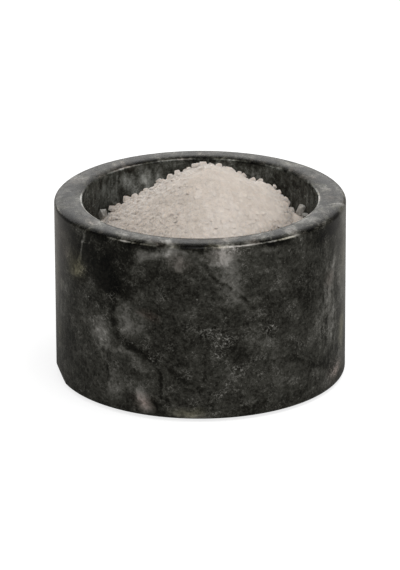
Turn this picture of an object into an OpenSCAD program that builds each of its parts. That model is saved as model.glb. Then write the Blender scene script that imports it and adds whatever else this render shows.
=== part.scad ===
// Round salt cellar turned from one piece of cloudy dark marble, heaped with coarse salt.
// Millimetres. +Z is up, -Y is the front, and the origin is on the table under the middle of the bowl.

/* [Stone bowl] */
// Outer diameter of the stone
stone_d = 101.6; // [85:0.2:120]
// Height of the stone without its pads
stone_h = 62.7; // [52:0.1:76]
// Thickness of the wall, which is the width of the rim
wall_t = 9.8; // [7:0.1:13]
// Thickness of the floor
floor_t = 12; // [8:0.5:16]
// Rounding of the rim's outer edge
rim_edge_r = 1.6; // [0.6:0.1:3]
// Rounding of the rim's inner edge
lip_edge_r = 0.7; // [0.3:0.1:1.5]
// Rounding of the edge at the stone's foot
foot_edge_r = 1.4; // [0.5:0.1:3]
// Rounding where the wall of the hollow meets its floor
hollow_corner_r = 6; // [3:0.5:10]

/* [Protective pads] */
// Diameter of each pad
pad_d = 12; // [8:0.5:16]
// Thickness of each pad
pad_t = 0.8; // [0.5:0.1:1.5]
// Stone that shows between a pad and the outer wall, seen from below
pad_inset = 7; // [3:0.5:12]

/* [Salt] */
// Gap between the salt and the wall of the hollow
salt_gap = 0.3; // [0.2:0.05:0.6]
// How far the heap under the crystals rises above the rim
heap_rise = 10.2; // [5:0.2:15]
// How far below the rim the heap meets the wall
heap_drop = 15.2; // [12:0.2:20]
// How far the top of the heap lies to the right of the middle
peak_shift = 1.2; // [-3:0.1:3]
// Distance from one crystal to the next, which is also the most that one is wide
crystal_step = 3; // [2.8:0.1:4]
// Height of a crystal above the slope that it lies on
crystal_h = 2; // [1.2:0.1:2.4]

/* [Loose crystals] */
// Width of the crystal that stands by itself on the left
left_crystal_w = 2.9; // [2:0.1:4]
// Height of the crystal that stands by itself on the left
left_crystal_h = 3.8; // [2.5:0.1:5]
// Width of each crystal in the group on the right
right_crystal_w = 3.2; // [2.2:0.1:4]
// Height of each crystal in the group on the right
right_crystal_h = 3.4; // [2.2:0.1:4.5]

/* [Hidden] */

stone_r = stone_d / 2;
hollow_r = stone_r - wall_t;
floor_z = pad_t + floor_t;
rim_z = pad_t + stone_h;
// Distance of a pad's middle from the axis
pad_reach = stone_r - pad_inset - pad_d / 2;
// How far a cut runs past the face that it opens
overrun = 1;
// Sides of the rounds of the stone, its edges, the salt and the pads
stone_sides = 240;
edge_sides = 96;
salt_sides = 180;
pad_sides = 64;

salt_r = hollow_r - salt_gap;
toe_z = rim_z - heap_drop;
heap_h = heap_rise + heap_drop;
// How round the heap's top is, as a share of the way to its edge
top_round_share = 0.2;
// Power of the curve that the right side of the heap follows
dome_power = 1.94;
heap_sectors = 60;
heap_rings = 14;
// Small step, as a share of the way down the heap, over which its slope is measured
slope_step_share = 0.01;
// Small angle over which the heap's slope is measured
slope_step_angle = 1;

// More rings of crystals than the heap can hold
ring_total = ceil((salt_r + heap_h) / crystal_step);
// Angle between the starts of one ring of crystals and the next
ring_turn = 137.5;
// Angle between the bearings along which a ring's size is measured
ring_gauge_angle = 30;
crystal_seed = 41;
// How far the seeds of one group of crystals lie from those of the next
group_seed_step = 1000;
// Corners of a crystal's foot, and of its top
corners = 5;
corner_angle = 360 / corners;
// Most that a corner is turned from its even place
corner_turn = 12;
// Least and most of a crystal's width as a share of the distance between crystals
crystal_width_shares = [0.86, 0.99];
// Least and most of a crystal's top as a share of its foot
crystal_top_shares = [0.6, 0.86];
// Least and most of a crystal's height as a share of the usual height
crystal_height_shares = [0.65, 1.15];
// Most that a crystal's top slopes
crystal_tilt_share = 0.4;
// Shares of the way down the heap at which one group of crystals ends and the next begins
band_shares = [0, 0.25, 0.5, 0.75, 1];

// Bearings of the crystals by the wall, and their distances from it as shares of their width
left_crystal_bearing = 157;
left_crystal_inset_share = 0.75;
right_crystal_bearings = [4, 10.5, 17, 23.5, 30];
right_crystal_inset_shares = [0.7, 0.85, 0.6, 0.95, 0.65];
right_crystal_height_shares = [0.75, 1, 0.85, 1.1, 0.7];

function unit(v) = v / norm(v);
function between(shares, draw) = shares[0] + (shares[1] - shares[0]) * draw;

// Distance from the heap's top to the salt's edge along a bearing
function reach(bearing) =
    sqrt(pow(salt_r, 2) - pow(peak_shift * sin(bearing), 2)) - peak_shift * cos(bearing);

// Share of its height that the heap has lost at a share of the way down. Its left side is straight
// and its right side is domed.
function straight_loss(share) =
    (norm([share, top_round_share]) - top_round_share) / (norm([1, top_round_share]) - top_round_share);
function domed_loss(share) = pow(max(share, 0), dome_power);
function loss(share, bearing) =
    let (right = (1 + cos(bearing)) / 2)
    (1 - right) * straight_loss(share) + right * domed_loss(share);

// Point on the heap at a share of the way down along a bearing from its top
function heap_point(share, bearing) = [
    peak_shift + share * reach(bearing) * cos(bearing),
    share * reach(bearing) * sin(bearing),
    toe_z + heap_h * (1 - loss(share, bearing))
];

function heap_normal(share, bearing) =
    share < slope_step_share ? [0, 0, 1] :
    let (
        down = heap_point(share + slope_step_share, bearing) - heap_point(share - slope_step_share, bearing),
        round = heap_point(share, bearing + slope_step_angle) - heap_point(share, bearing - slope_step_angle)
    )
    unit(cross(down, round));

// Share of the way down at which a ring of crystals lies, each one step down the slope from the last
function ring_share(ring, bearing) =
    ring == 0 ? 0 :
    let (
        last = ring_share(ring - 1, bearing),
        step = norm(heap_point(last + slope_step_share, bearing) - heap_point(last, bearing))
    )
    last + slope_step_share * crystal_step / step;

function ring_radius(ring) =
    min([for (bearing = [0 : ring_gauge_angle : 359]) ring_share(ring, bearing) * reach(bearing)]);
function ring_count(ring) = max(1, floor(2 * PI * ring_radius(ring) / crystal_step));

// Where a crystal by the wall stands, as a share of the way down and a bearing from the heap's top
function wall_place(bearing, wall_distance) =
    let (
        x = (salt_r - wall_distance) * cos(bearing) - peak_shift,
        y = (salt_r - wall_distance) * sin(bearing),
        from_top = atan2(y, x)
    )
    [norm([x, y]) / reach(from_top), from_top];

left_places = [wall_place(left_crystal_bearing, left_crystal_inset_share * left_crystal_w)];
right_places = [
    for (i = [0 : len(right_crystal_bearings) - 1])
        wall_place(right_crystal_bearings[i], right_crystal_inset_shares[i] * right_crystal_w)
];

// Furthest that any corner of a crystal on the slope lies from its seat
crystal_reach = norm([
    crystal_step / 2,
    crystal_h * crystal_height_shares[1] + crystal_step / 2 * crystal_tilt_share
]);

// Whether a crystal seated at a point is clear of the upright crystals that stand at the given places
function is_clear(point, places, width) =
    let (away = [for (place = places) heap_point(place[0], place[1]) - point])
    min([for (step = away) norm([step.x, step.y])]) > crystal_reach + width / 2;

// Places of the crystals in one ring that lie on the heap, within two shares of the way down
function ring_places(ring, from_share, to_share) = [
    for (i = [0 : ring_count(ring) - 1])
        let (
            bearing = ring * ring_turn + i * 360 / ring_count(ring),
            share = ring_share(ring, bearing),
            point = heap_point(share, bearing)
        )
        if (share >= from_share && share < to_share && norm([point.x, point.y]) <= salt_r - crystal_reach
            && is_clear(point, left_places, left_crystal_w) && is_clear(point, right_places, right_crystal_w))
            [share, bearing]
];

// Corners of a crystal that lies on the slope, those of its foot and then those of its top
function lying_crystal(place, number) =
    let (
        draws = rands(0, 1, 6 + 2 * corners, crystal_seed + number),
        seat = heap_point(place[0], place[1]),
        up = heap_normal(place[0], place[1]),
        across = unit(cross([0, 1, 0], up)),
        along = cross(up, across),
        foot_r = crystal_step / 2 * between(crystal_width_shares, draws[0]),
        top_r = foot_r * between(crystal_top_shares, draws[1]),
        height = crystal_h * between(crystal_height_shares, draws[2]),
        turn = 360 * draws[3],
        lean = (crystal_step / 2 - top_r) * draws[4]
    )
    concat(
        [for (i = [0 : corners - 1])
            let (angle = turn + corner_angle * i + corner_turn * (2 * draws[6 + i] - 1))
            seat + foot_r * (cos(angle) * across + sin(angle) * along)],
        [for (i = [0 : corners - 1])
            let (angle = turn + corner_angle * (i + 0.5) + corner_turn * (2 * draws[6 + corners + i] - 1))
            seat + top_r * (cos(angle) * across + sin(angle) * along)
                + lean * (cos(turn) * across + sin(turn) * along)
                + (height + top_r * crystal_tilt_share * draws[5] * cos(angle)) * up]
    );

// Corners of a crystal that stands upright, with its foot cut along the slope
function standing_crystal(place, width, height, number) =
    let (
        draws = rands(0, 1, 3 + 2 * corners, crystal_seed + number),
        seat = heap_point(place[0], place[1]),
        slope = heap_normal(place[0], place[1]),
        foot_r = width / 2,
        top_r = foot_r * between(crystal_top_shares, draws[0]),
        turn = 360 * draws[1]
    )
    concat(
        [for (i = [0 : corners - 1])
            let (
                angle = turn + corner_angle * i + corner_turn * (2 * draws[3 + i] - 1),
                x = foot_r * cos(angle),
                y = foot_r * sin(angle)
            )
            seat + [x, y, -(slope.x * x + slope.y * y) / slope.z]],
        [for (i = [0 : corners - 1])
            let (angle = turn + corner_angle * (i + 0.5) + corner_turn * (2 * draws[3 + corners + i] - 1))
            seat + [top_r * cos(angle), top_r * sin(angle),
                height + top_r * crystal_tilt_share * draws[2] * cos(angle)]]
    );

// Faces of the crystal whose corners start at a number in the list of points
function crystal_faces(first) = concat(
    [[for (i = [0 : corners - 1]) first + i], [for (i = [corners - 1 : -1 : 0]) first + corners + i]],
    [for (i = [0 : corners - 1]) [first + i, first + corners + i, first + (i + 1) % corners]],
    [for (i = [0 : corners - 1])
        [first + corners + (i + corners - 1) % corners, first + corners + i, first + i]]
);

// What takes a convex edge down to a radius, drawn from the middle of the rounding
module edge_cut(r) {
    difference() {
        square(r + overrun);
        circle(r, $fn = edge_sides);
    }
}

module crystal_group(crystals) {
    polyhedron(
        points = [for (crystal = crystals) each crystal],
        faces = [for (i = [0 : len(crystals) - 1]) each crystal_faces(2 * corners * i)]
    );
}

// The crystals that lie between two of the band shares
module crystal_band(band) {
    places = [for (ring = [0 : ring_total]) each ring_places(ring, band_shares[band], band_shares[band + 1])];
    crystal_group([for (i = [0 : len(places) - 1]) lying_crystal(places[i], group_seed_step * band + i)]);
}

module foot_pad(x_side, y_side) {
    color("dimgray")
    translate([x_side * pad_reach * cos(45), y_side * pad_reach * sin(45), 0])
    cylinder(d = pad_d, h = pad_t, $fn = pad_sides);
}

// Outline of the hollow, from the axis outwards
module hollow_outline() {
    difference() {
        translate([0, floor_z]) square([hollow_r, rim_z - floor_z + overrun]);
        translate([hollow_r - hollow_corner_r, floor_z + hollow_corner_r])
        mirror([0, 1])
        edge_cut(hollow_corner_r);
    }
}

module stone_bowl() {
    color([0.24, 0.24, 0.24])
    rotate_extrude($fn = stone_sides)
    difference() {
        translate([0, pad_t]) square([stone_r, stone_h]);
        hollow_outline();
        translate([stone_r - rim_edge_r, rim_z - rim_edge_r]) edge_cut(rim_edge_r);
        translate([hollow_r + lip_edge_r, rim_z - lip_edge_r]) mirror([1, 0]) edge_cut(lip_edge_r);
        translate([stone_r - foot_edge_r, pad_t + foot_edge_r]) mirror([0, 1]) edge_cut(foot_edge_r);
    }
}

module salt_fill() {
    color([0.8, 0.77, 0.75])
    rotate_extrude($fn = salt_sides)
    difference() {
        translate([0, floor_z]) square([salt_r, toe_z - floor_z]);
        translate([salt_r - hollow_corner_r, floor_z + hollow_corner_r])
        mirror([0, 1])
        edge_cut(hollow_corner_r);
    }
}

module salt_heap() {
    rim = [for (ring = [1 : heap_rings]) for (i = [0 : heap_sectors - 1])
        heap_point(ring / heap_rings, 360 * i / heap_sectors)];
    function at(ring, i) = (ring - 1) * heap_sectors + i % heap_sectors;
    top = heap_rings * heap_sectors;
    color([0.82, 0.79, 0.77])
    polyhedron(
        points = concat(rim, [heap_point(0, 0)]),
        faces = concat(
            [[for (i = [0 : heap_sectors - 1]) at(heap_rings, i)]],
            [for (i = [0 : heap_sectors - 1]) [top, at(1, i + 1), at(1, i)]],
            [for (ring = [1 : heap_rings - 1]) for (i = [0 : heap_sectors - 1])
                [at(ring, i), at(ring, i + 1), at(ring + 1, i + 1)]],
            [for (ring = [1 : heap_rings - 1]) for (i = [0 : heap_sectors - 1])
                [at(ring, i), at(ring + 1, i + 1), at(ring + 1, i)]]
        )
    );
}

module crystals_crown() {
    color([0.9, 0.88, 0.86]) crystal_band(0);
}

module crystals_upper_slope() {
    color([0.88, 0.86, 0.84]) crystal_band(1);
}

module crystals_middle_slope() {
    color([0.87, 0.85, 0.83]) crystal_band(2);
}

module crystals_lower_slope() {
    color([0.86, 0.84, 0.82]) crystal_band(3);
}

module loose_crystal_left() {
    color([0.78, 0.78, 0.78])
    crystal_group([standing_crystal(left_places[0], left_crystal_w, left_crystal_h, 5 * group_seed_step)]);
}

module loose_crystals_right() {
    color([0.74, 0.74, 0.74])
    crystal_group([
        for (i = [0 : len(right_places) - 1])
            standing_crystal(right_places[i], right_crystal_w,
                right_crystal_h * right_crystal_height_shares[i], 6 * group_seed_step + i)
    ]);
}

stone_bowl();
foot_pad(-1, -1);  // foot_pad_front_left
foot_pad(1, -1);  // foot_pad_front_right
foot_pad(-1, 1);  // foot_pad_back_left
foot_pad(1, 1);  // foot_pad_back_right
salt_fill();
salt_heap();
crystals_crown();
crystals_upper_slope();
crystals_middle_slope();
crystals_lower_slope();
loose_crystal_left();
loose_crystals_right();
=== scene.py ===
"""Round marble salt cellar heaped with coarse salt, dressed around its solids.

Sizes are in millimetres up to the point where a mesh is made, and Blender's metres from there on.
+Z is up and -Y is the front.
"""
import itertools
import math
import random

import bmesh
import bpy
import numpy as np
from mathutils import Euler, Matrix, Vector, noise


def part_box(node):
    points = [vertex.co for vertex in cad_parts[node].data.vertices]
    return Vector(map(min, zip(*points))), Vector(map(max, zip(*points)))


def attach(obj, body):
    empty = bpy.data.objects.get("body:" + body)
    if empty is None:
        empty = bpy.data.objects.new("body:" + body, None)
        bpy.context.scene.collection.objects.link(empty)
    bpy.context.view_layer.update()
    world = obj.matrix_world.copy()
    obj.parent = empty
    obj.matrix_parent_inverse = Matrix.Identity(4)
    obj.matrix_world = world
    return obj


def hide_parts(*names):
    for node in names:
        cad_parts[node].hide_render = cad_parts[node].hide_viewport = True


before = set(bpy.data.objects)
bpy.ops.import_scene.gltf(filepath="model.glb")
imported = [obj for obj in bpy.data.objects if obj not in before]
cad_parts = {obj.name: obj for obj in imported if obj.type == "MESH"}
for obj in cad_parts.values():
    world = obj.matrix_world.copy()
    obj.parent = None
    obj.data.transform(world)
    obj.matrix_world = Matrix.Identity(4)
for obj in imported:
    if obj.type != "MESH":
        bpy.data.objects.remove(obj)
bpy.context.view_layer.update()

MM = 0.001


def box_mm(node):
    """Lowest and highest corner of a node's solid, in millimetres."""
    low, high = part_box(node)
    return Vector(low) / MM, Vector(high) / MM


stone_low, stone_high = box_mm("stone_bowl")
fill_low, fill_high = box_mm("salt_fill")
heap_high = box_mm("salt_heap")[1]

# Stone
STONE_R = stone_high.x
BASE_Z = stone_low.z
RIM_Z = stone_high.z
WALL_T = 9.8
HOLLOW_R = STONE_R - WALL_T
FLOOR_Z = fill_low.z
RIM_EDGE_R = 1.3
LIP_EDGE_R = 0.7
# The rim is a soft arch: its slope at both edges in degrees, how far its crest stands above the rim of the
# solid, and the power by which it falls from the crest
RIM_SLOPE = 18
RIM_CREST = 0.55
RIM_POWER = 3
FOOT_EDGE_R = 1.4
HOLLOW_CORNER_R = 6

# The foot's left edge is chipped off square to a way out of the stone, at a distance from its middle
CHIP_WAY = Vector((-0.88, -0.165, -0.44)).normalized()
CHIP_REACH = 43.95
# How deep the rim's edges are worn at most, and how far down the wear reaches
NICK_DEPTH = 0.16
NICK_REACH = 3

# Salt
SALT_R = fill_high.x
TOE_Z = fill_high.z
HEAP_H = heap_high.z - TOE_Z
PEAK_SHIFT = 1.2
TOP_ROUND_SHARE = 0.2
DOME_POWER = 1.94
# Where the heap falls away to its foot by the wall, by how much, and how uneven that is
FOOT_START_R = 29.5
FOOT_END_R = 34
FOOT_DROP = 4.2
FOOT_WAVE = 1.5
FOOT_Z = TOE_Z - FOOT_DROP
# It falls away at its sides alone: share of the radius to the side where that starts, and how soon it is full
SIDE_START = 0.45
SIDE_WIDTH = 0.35
# How much nearer to the wall the heap falls away on its left side
LEFT_FOOT_GROWTH = 2.2
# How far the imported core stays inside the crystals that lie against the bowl
SKIN_T = 0.55
# Mounds by the wall under the loose crystals: middle, reach and height
FOOT_MOUNDS = [(36, 9, 5, 4.2), (35, 17, 4, 3.6), (-35, 15.5, 3.5, 3.8)]
# Small packed grains: their size and the height of their relief, and the level that it is cut off at
GRAINS = [(1.9, 0.5), (1.1, 0.25)]
GRAIN_CUT = 0.6
# How much lighter, as a share of the whole scale, salt dust makes the wall of the hollow
HOLLOW_DUST = 0.04
# Share by which the salt's shading follows its slope and not each crystal's faces
SALT_SOFTNESS = 0.94
# Waves all over the heap: their size, their height and the level that they are cut from the noise at
HEAP_WAVES = [(7, 0.5, 0), (3, 0.3, 9)]
# Lumps and dips on the heap: middle, reach to the sides, reach to the back, and height
HEAP_LUMPS = [
    (24, 12, 4, 10, 1.2), (17, 9, 4, 8, -1.9), (31.5, 11, 3, 10, -2.2), (1.5, 3, 2, 5, 0.6),
    (-3, 3, 6, 6, -0.6), (-10, 6, 4, 7, -0.5), (29, 12, 3, 8, 0.9), (-12.6, 7, 2.5, 6, -0.9),
    (-20.5, 11, 4.5, 8, -0.7), (-29, 14, 3, 8, 0.5),
]


def linear(*levels):
    """The linear colour of one that is written in levels from 0 to 255."""
    return tuple((level / 255) ** 2.2 for level in levels) + (1.0,)


# Meshes

def on_circle(radius, angle):
    return radius * math.cos(angle), radius * math.sin(angle)


def round_ring(first, count):
    """Each vertex of a ring with the one after it, where the ring starts with that vertex."""
    return [(first + i, first + (i + 1) % count) for i in range(count)]


def new_object(name, data):
    thing = bpy.data.objects.new(name, data)
    bpy.context.scene.collection.objects.link(thing)
    return thing


def add_mesh(name, vertices, faces, material, smooth=True):
    """A new object from vertices in millimetres and faces."""
    mesh = bpy.data.meshes.new(name)
    mesh.from_pydata([Vector(v) * MM for v in vertices], [], faces)
    mesh.validate()
    mesh.polygons.foreach_set("use_smooth", [smooth] * len(mesh.polygons))
    mesh.materials.append(material)
    mesh.update()
    return new_object(name, mesh)


def soften(mesh, slopes, share):
    """Turns the shading normals towards the slope under each vertex, as light that goes into salt does."""
    corners = np.empty(len(mesh.loops), dtype=np.int32)
    mesh.loops.foreach_get("vertex_index", corners)
    normals = np.empty(3 * len(mesh.loops), dtype=np.float32)
    mesh.corner_normals.foreach_get("vector", normals)
    normals = (1 - share) * normals.reshape(-1, 3) + share * np.array(slopes, dtype=np.float32)[corners]
    normals /= np.linalg.norm(normals, axis=1)[:, None]
    mesh.normals_split_custom_set(normals.tolist())


def stand_for(piece, body, slot, *nodes):
    """The piece moves with a body and takes the place of the named nodes."""
    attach(piece, body)
    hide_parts(*nodes)


def arc(centre, radius, start, end, steps):
    """Points of an arc in a profile, from one angle in degrees to another."""
    points = []
    for i in range(steps + 1):
        angle = math.radians(start + (end - start) * i / steps)
        points.append((centre[0] + radius * math.cos(angle), centre[1] + radius * math.sin(angle)))
    return points


def filled(profile, step, edge_step):
    """The profile with points added along its long straight runs, close to their ends first."""
    points = [profile[0]]
    for (r0, z0), (r1, z1) in zip(profile, profile[1:]):
        length = math.hypot(r1 - r0, z1 - z0)
        if length > 3 * edge_step:
            count = max(1, round(length / step))
            shares = [edge_step / length] + [i / count for i in range(1, count)] + [1 - edge_step / length]
            points += [(r0 + (r1 - r0) * share, z0 + (z1 - z0) * share) for share in shares]
        points.append((r1, z1))
    return points


def lathe(name, profile, segments, material, wear=None):
    """A closed turned mesh from a profile that starts and ends on the axis."""
    rings = profile[1:-1]
    vertices = []
    for r, z in rings:
        for i in range(segments):
            vertices.append(Vector((*on_circle(r, 2 * math.pi * i / segments), z)))
    if wear:
        vertices = [wear(v) for v in vertices]
    faces = []
    for ring in range(len(rings) - 1):
        faces += [(a, b, b + segments, a + segments) for a, b in round_ring(ring * segments, segments)]
    first = len(vertices)
    vertices += [Vector((0, 0, profile[0][1])), Vector((0, 0, profile[-1][1]))]
    last_ring = (len(rings) - 1) * segments
    for a, b in round_ring(0, segments):
        faces.append((first, b, a))
        faces.append((first + 1, last_ring + a, last_ring + b))
    return add_mesh(name, vertices, faces, material)


# Node trees

class Nodes:
    """Adds the nodes of one material, so that a pattern can be written as a formula."""

    def __init__(self, tree):
        self.tree = tree
        tree.nodes.clear()

    def add(self, kind, inputs=None, **settings):
        node = self.tree.nodes.new(kind)
        for name, value in settings.items():
            setattr(node, name, value)
        for name, value in (inputs or {}).items():
            if isinstance(value, bpy.types.NodeSocket):
                self.tree.links.new(value, node.inputs[name])
            else:
                node.inputs[name].default_value = value
        return node

    def math(self, operation, *values, clamp=False):
        node = self.add("ShaderNodeMath", dict(enumerate(values)), operation=operation, use_clamp=clamp)
        return node.outputs[0]

    def times(self, first, second, clamp=False):
        return self.math("MULTIPLY", first, second, clamp=clamp)

    def plus(self, total, value, weight):
        """The total with the value added that many times."""
        return self.math("MULTIPLY_ADD", value, weight, total)

    def vector(self, operation, *values):
        return self.add("ShaderNodeVectorMath", dict(enumerate(values)), operation=operation).outputs[0]

    def moved(self, vector, *offset):
        return self.vector("ADD", vector, offset)

    def scaled(self, vector, scale):
        inputs = {0: vector, "Scale": scale}
        return self.add("ShaderNodeVectorMath", inputs, operation="SCALE").outputs[0]

    def mapped(self, vector, scale, rotation=(0, 0, 0)):
        inputs = {"Vector": vector, "Rotation": rotation, "Scale": scale}
        return self.add("ShaderNodeMapping", inputs).outputs[0]

    def parts(self, vector):
        return self.add("ShaderNodeSeparateXYZ", {0: vector}).outputs

    def noise(self, vector, size, detail=2.0, roughness=0.5, distortion=0.0, output="Fac"):
        """Noise whose clouds are about that size in millimetres."""
        inputs = {
            "Vector": vector, "Scale": 1 / size, "Detail": detail, "Roughness": roughness,
            "Distortion": distortion,
        }
        return self.add("ShaderNodeTexNoise", inputs, noise_dimensions="3D").outputs[output]

    def swing(self, *settings):
        """Noise less its middle level."""
        return self.math("SUBTRACT", self.noise(*settings), 0.5)

    def ridge(self, *settings):
        """Noise's distance from its middle level, which is 0 along thin lines."""
        return self.math("ABSOLUTE", self.swing(*settings))

    def smooth(self, value, low, high, to_low=0.0, to_high=1.0):
        """The value's smooth step between two levels."""
        inputs = {"Value": value, 1: low, 2: high, 3: to_low, 4: to_high}
        return self.add("ShaderNodeMapRange", inputs, interpolation_type="SMOOTHSTEP").outputs["Result"]

    def bump(self, height, strength, distance):
        """The normal over small bumps, whose distance is in millimetres."""
        inputs = {"Height": height, "Strength": strength, "Distance": distance * MM}
        return self.add("ShaderNodeBump", inputs).outputs[0]

    def mix(self, factor, first, second, blend="MIX"):
        """A mix of two colours. The node's inputs 6 and 7 and its output 2 are the ones for colours."""
        inputs = {0: factor, 6: first, 7: second}
        return self.add("ShaderNodeMix", inputs, data_type="RGBA", blend_type=blend).outputs[2]

    def ramp(self, value, stops):
        """Colours along a value, as (place, colour) pairs."""
        node = self.add("ShaderNodeValToRGB", {"Fac": value})
        while len(node.color_ramp.elements) < len(stops):
            node.color_ramp.elements.new(0.5)
        for element, (place, colour) in zip(node.color_ramp.elements, stops):
            element.position = place
            element.color = colour
        return node.outputs["Color"]

    def warped(self, vector, size, reach, detail=2.0):
        """The vector pushed about by noise of that size, by up to about that reach."""
        push = self.vector("SUBTRACT", self.noise(vector, size, detail, output="Color"), (0.5, 0.5, 0.5))
        return self.vector("ADD", vector, self.scaled(push, 2 * reach))

    def spots(self, vector, rows, total=0.0):
        """A running total of soft spots. Each row is a spot's middle, turn, half sizes and weight."""
        for middle, turn, halves, weight in rows:
            inputs = {"Vector": vector, "Location": middle, "Rotation": turn, "Scale": halves}
            place = self.add("ShaderNodeMapping", inputs, vector_type="TEXTURE").outputs[0]
            soft = self.add("ShaderNodeTexGradient", {"Vector": place}, gradient_type="SPHERICAL")
            total = self.math("MULTIPLY_ADD", soft.outputs["Fac"], weight, total)
        return total


def new_material(name):
    """A new material with its node helper and its coordinates in millimetres."""
    material = bpy.data.materials.new(name)
    material.use_nodes = True
    nodes = Nodes(material.node_tree)
    place = nodes.scaled(nodes.add("ShaderNodeTexCoord").outputs["Object"], 1 / MM)
    return material, nodes, place


def finish_material(nodes, shader):
    nodes.add("ShaderNodeOutputMaterial", {"Surface": shader})


def finish_surface(nodes, inputs):
    shader = nodes.add("ShaderNodeBsdfPrincipled", inputs)
    finish_material(nodes, shader.outputs[0])


# Marble

def wall_spot(arc_mm, height, half_length, half_width, weight, tilt=0):
    """A spot on the outer wall, by its distance to the right round the wall from the front and its height
    above the stone's foot. The tilt is that of its length."""
    bearing = arc_mm / STONE_R
    middle = (STONE_R * math.sin(bearing), -STONE_R * math.cos(bearing), BASE_Z + height)
    halves = (half_length, max(half_width, 4), half_width)
    return middle, (0, -math.radians(tilt), bearing), halves, weight


def rim_spot(x, y, half_length, half_width, weight, tilt=0):
    """A spot on the rim, with the tilt of its length seen from above."""
    return (x, y, RIM_Z), (0, 0, math.radians(tilt)), (half_length, half_width, 3), weight


def hollow_spot(bearing, height, half_length, half_width, weight, tilt=0):
    """A spot on the wall of the hollow, by its bearing from the right, anticlockwise from above."""
    angle = math.radians(bearing)
    middle = (*on_circle(HOLLOW_R, angle), BASE_Z + height)
    turn = (0, -math.radians(tilt), angle + math.pi / 2)
    return middle, turn, (half_length, 6, half_width), weight


def spot_table(wall=(), rim=(), hollow=()):
    """Spots from their rows. Each row has a place, a half length, a half width, a weight and a tilt."""
    spots = [wall_spot(*row) for row in wall]
    spots += [rim_spot(*row) for row in rim]
    spots += [hollow_spot(*row) for row in hollow]
    return spots


def wall_vein(points, half_width, weight):
    """Spots in a chain along a vein on the wall, each stretched from one point to the next."""
    overlap = 1.5
    rows = []
    for (s0, z0), (s1, z1) in zip(points, points[1:]):
        half_length = overlap * math.hypot(s1 - s0, z1 - z0) / 2 + half_width
        tilt = math.degrees(math.atan2(z1 - z0, s1 - s0))
        rows.append(wall_spot((s0 + s1) / 2, (z0 + z1) / 2, half_length, half_width, weight, tilt))
    return rows


def vein_table(veins):
    """Spots along veins. Each row has a vein's points, its half width and its weight."""
    return [spot for vein in veins for spot in wall_vein(*vein)]


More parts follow.
